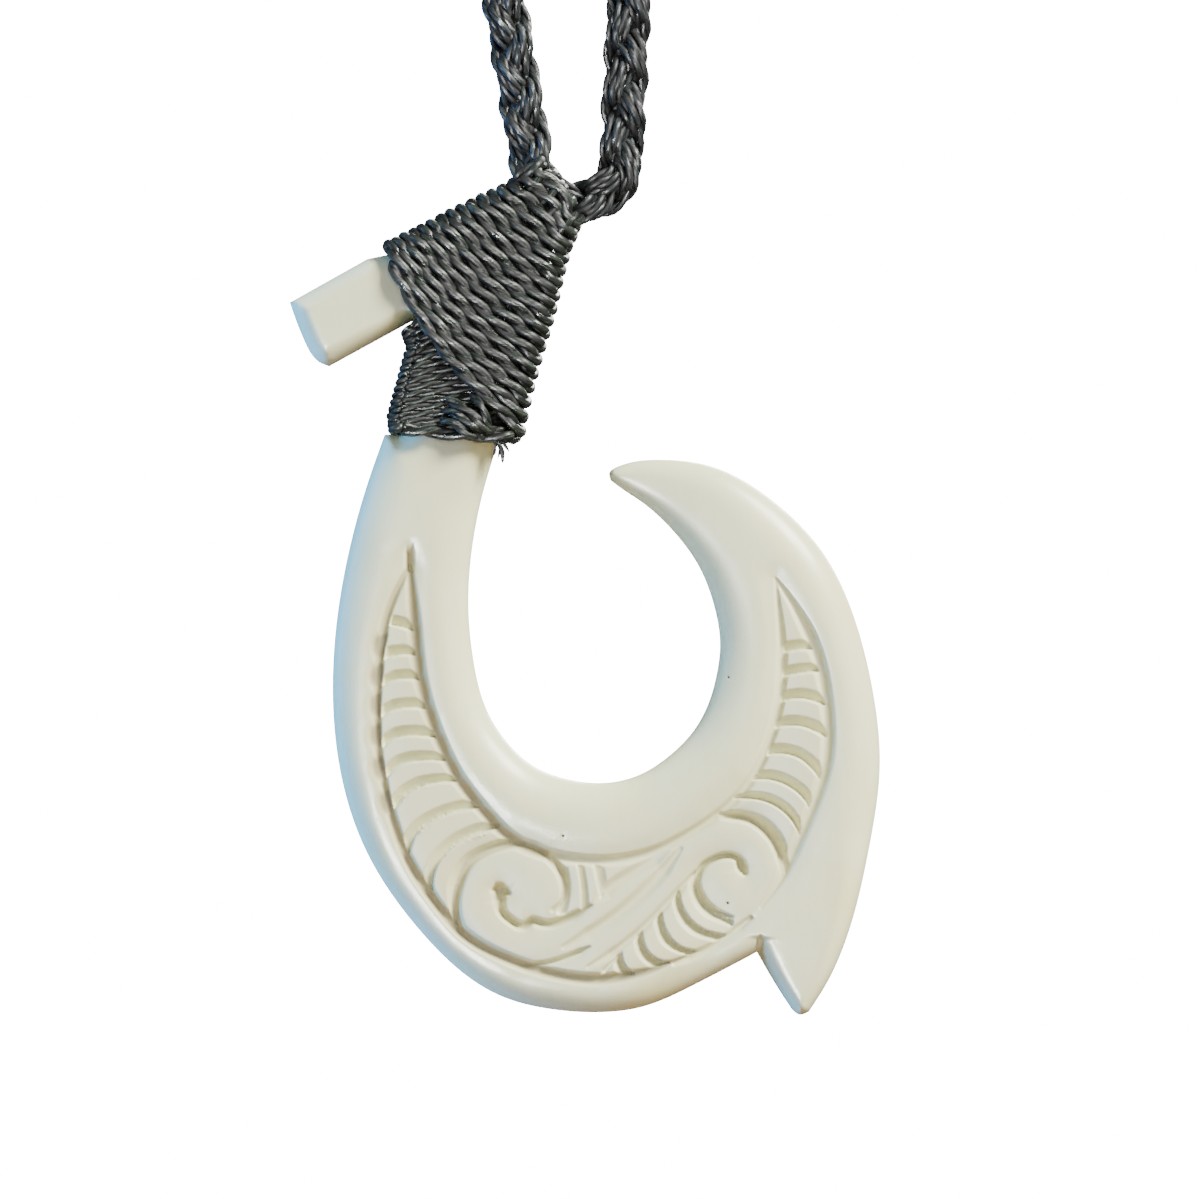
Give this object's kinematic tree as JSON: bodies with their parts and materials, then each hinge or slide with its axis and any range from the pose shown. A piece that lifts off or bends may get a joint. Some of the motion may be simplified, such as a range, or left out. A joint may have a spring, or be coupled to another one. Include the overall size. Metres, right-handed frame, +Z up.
{
  "type": "fish hook pendant necklace",
  "caption": "Carved bone fish hook pendant with a notched crescent of ribs and spirals, lashed with waxed cord to a braided neck loop.",
  "frame": {"origin": "inner top of the neck loop, where the loop rests on the neck, arm or peg that holds it", "axes": "+Z up along the hanging necklace, +X to the viewer's right, the carved front of the hook faces -Y"},
  "size_m": [0.0646, 0.0066, 0.3541],
  "materials": {
    "bone": "polished bone, warmer in the carved lines",
    "waxed_cord": "black waxed twisted cord",
    "braided_cord": "black waxed braid"
  },
  "bodies": {
    "root": {"bone_hook": "bone", "head_lashing": "waxed_cord", "shank_lashing": "waxed_cord", "neck_cord": "braided_cord"}
  },
  "joints": []
}
